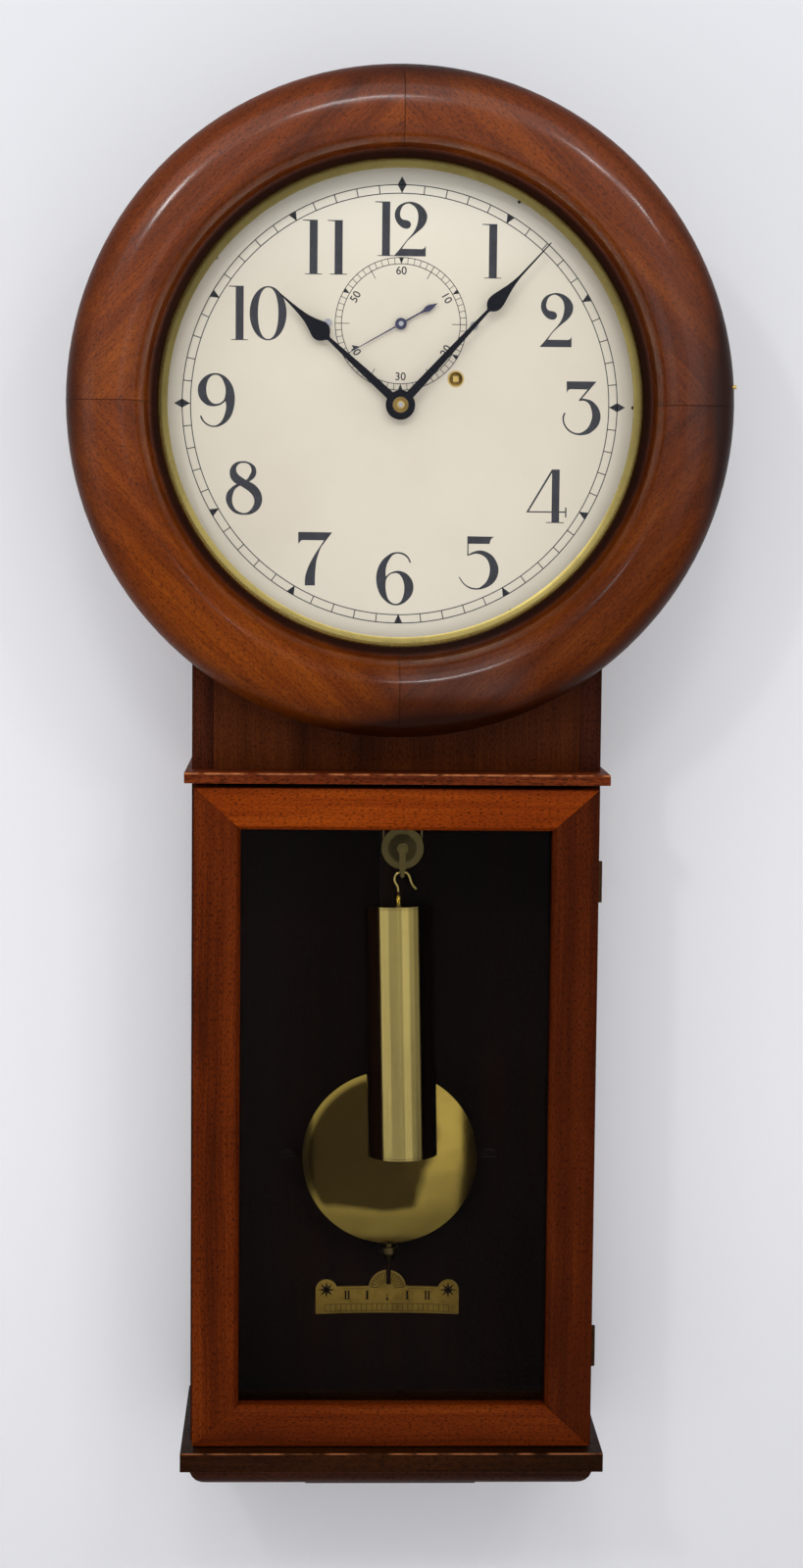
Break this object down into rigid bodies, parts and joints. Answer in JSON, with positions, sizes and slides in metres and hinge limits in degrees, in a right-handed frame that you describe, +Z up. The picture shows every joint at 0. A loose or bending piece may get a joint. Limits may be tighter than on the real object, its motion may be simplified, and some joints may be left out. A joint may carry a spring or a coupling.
{
  "type": "wall regulator clock",
  "caption": "Weight-driven wall regulator clock with a round turned bezel, a white dial with three hands, and a glazed trunk door.",
  "frame": {"origin": "middle of the wall hanger hole, at the wall plane", "axes": "+Z up the case, +Y towards the wall, so the dial faces -Y and +X is to the right of someone who faces it"},
  "size_m": [0.4248, 0.1688, 0.9253],
  "materials": {
    "walnut": "polished",
    "dark_walnut": "satin",
    "brass": "polished",
    "steel": "polished",
    "blued_steel": "polished",
    "iron": "satin",
    "dial_white": "satin",
    "glass": "polished",
    "cable": "satin"
  },
  "bodies": {
    "case": {"backboard": "dark_walnut", "carcass": "walnut", "waist_panel": "dark_walnut", "shelf_moulding": "walnut", "base_board": "walnut", "apron": "walnut", "steel_strip": "iron", "head_ring": "walnut", "hanger_plate": "steel", "backboard_screws": "iron", "beat_plate": "brass", "movement_bracket": "iron", "back_plate": "brass", "front_plate": "brass", "pillars": "brass", "pillar_nuts": "steel", "suspension_cock": "brass", "dial": "dial_white", "dial_posts": "brass", "dial_screws": "steel", "dial_pins": "iron", "winding_collar": "brass", "cable_stud": "steel", "hinges": "brass"},
    "great_wheel_body": {"great_wheel": "brass", "click_spring": "steel"},
    "click_body": {"click": "steel"},
    "drum_body": {"drum": "brass", "drum_cable": "cable"},
    "centre_body": {"centre_arbor": "steel", "centre_wheel": "brass", "minute_hand": "blued_steel", "hand_nut": "brass"},
    "third_body": {"third_wheel": "brass"},
    "escape_body": {"escape_arbor": "steel", "escape_wheel": "brass", "seconds_hand": "blued_steel"},
    "minute_wheel_body": {"minute_wheel": "brass"},
    "hour_body": {"hour_wheel": "brass", "hour_hand": "blued_steel"},
    "pallet_body": {"pallet_anchor": "steel", "crutch": "brass"},
    "pendulum_body": {"pendulum_rod": "dark_walnut", "pendulum_bob": "brass"},
    "rating_nut_body": {"rating_nut": "brass"},
    "weight_body": {"weight": "brass", "weight_hook": "brass", "pulley_strap": "brass", "pulley_cable": "cable", "drum_side_cable": "cable", "stud_side_cable": "cable"},
    "pulley_body": {"pulley": "brass"},
    "door_body": {"door_stiles": "walnut", "door_rails": "walnut", "door_glass": "glass", "door_hinge_leaves": "brass"},
    "bezel_body": {"bezel": "walnut", "sight_ring": "brass", "dial_glass": "glass", "bezel_hinge_leaves": "brass"}
  },
  "joints": [
    {"name": "minute", "type": "hinge", "parent": "case", "child": "centre_body", "pos_m": [0, -0.08, -0.12], "axis": [0, 1, 0], "continuous": true},
    {"name": "great_wheel_turn", "type": "hinge", "parent": "case", "child": "great_wheel_body", "pos_m": [0.0356, -0.08, -0.1028], "axis": [0, 1, 0], "continuous": true},
    {"name": "winding", "type": "hinge", "parent": "great_wheel_body", "child": "drum_body", "pos_m": [0.0356, -0.08, -0.1028], "axis": [0, 1, 0], "continuous": true},
    {"name": "click_pivot", "type": "hinge", "parent": "great_wheel_body", "child": "click_body", "pos_m": [0.0356, -0.0693, -0.12], "axis": [0, 1, 0], "range_deg": [-12, 0], "stiffness_Nm_per_rad": 0.002, "springref_deg": 11.46},
    {"name": "third", "type": "hinge", "parent": "case", "child": "third_body", "pos_m": [-0.0125, -0.08, -0.0884], "axis": [0, 1, 0], "continuous": true},
    {"name": "seconds", "type": "hinge", "parent": "case", "child": "escape_body", "pos_m": [0, -0.08, -0.0682], "axis": [0, 1, 0], "continuous": true},
    {"name": "minute_wheel_turn", "type": "hinge", "parent": "case", "child": "minute_wheel_body", "pos_m": [-0.0136, -0.08, -0.1336], "axis": [0, 1, 0], "continuous": true},
    {"name": "hour", "type": "hinge", "parent": "case", "child": "hour_body", "pos_m": [0, -0.08, -0.12], "axis": [0, 1, 0], "continuous": true},
    {"name": "pendulum", "type": "hinge", "parent": "case", "child": "pendulum_body", "pos_m": [0, -0.04, -0.049], "axis": [0, 1, 0], "range_deg": [-2.5, 2.5]},
    {"name": "pallets", "type": "hinge", "parent": "case", "child": "pallet_body", "pos_m": [0, -0.08, -0.049], "axis": [0, 1, 0], "range_deg": [-2.5, 2.5]},
    {"name": "rating", "type": "hinge", "parent": "pendulum_body", "child": "rating_nut_body", "pos_m": [0, -0.04, -0.6915], "axis": [0, 0, 1], "continuous": true},
    {"name": "weight_slide", "type": "slide", "parent": "case", "child": "weight_body", "axis": [0, 0, 1], "range_m": [-0.17, 0.2], "deforming": ["drum_side_cable", "stud_side_cable"]},
    {"name": "pulley_turn", "type": "hinge", "parent": "weight_body", "child": "pulley_body", "pos_m": [0.0055, -0.08, -0.4106], "axis": [0, 1, 0], "continuous": true},
    {"name": "door", "type": "hinge", "parent": "case", "child": "door_body", "pos_m": [0.133, -0.1183, -0.585], "axis": [0, 0, 1], "range_deg": [0, 110]},
    {"name": "bezel_door", "type": "hinge", "parent": "case", "child": "bezel_body", "pos_m": [0.188, -0.1304, -0.12], "axis": [0, 0, 1], "range_deg": [0, 90]}
  ],
  "couplings": [
    {"joint": "great_wheel_turn", "follows": "minute", "ratio": -0.055556},
    {"joint": "third", "follows": "minute", "ratio": -8},
    {"joint": "seconds", "follows": "minute", "ratio": 60},
    {"joint": "minute_wheel_turn", "follows": "minute", "ratio": -0.33333},
    {"joint": "hour", "follows": "minute", "ratio": 0.083333},
    {"joint": "pallets", "follows": "pendulum", "ratio": 1},
    {"joint": "winding", "follows": "weight_slide", "rad_per_m": 188.68},
    {"joint": "pulley_turn", "follows": "weight_slide", "rad_per_m": -79.365}
  ]
}
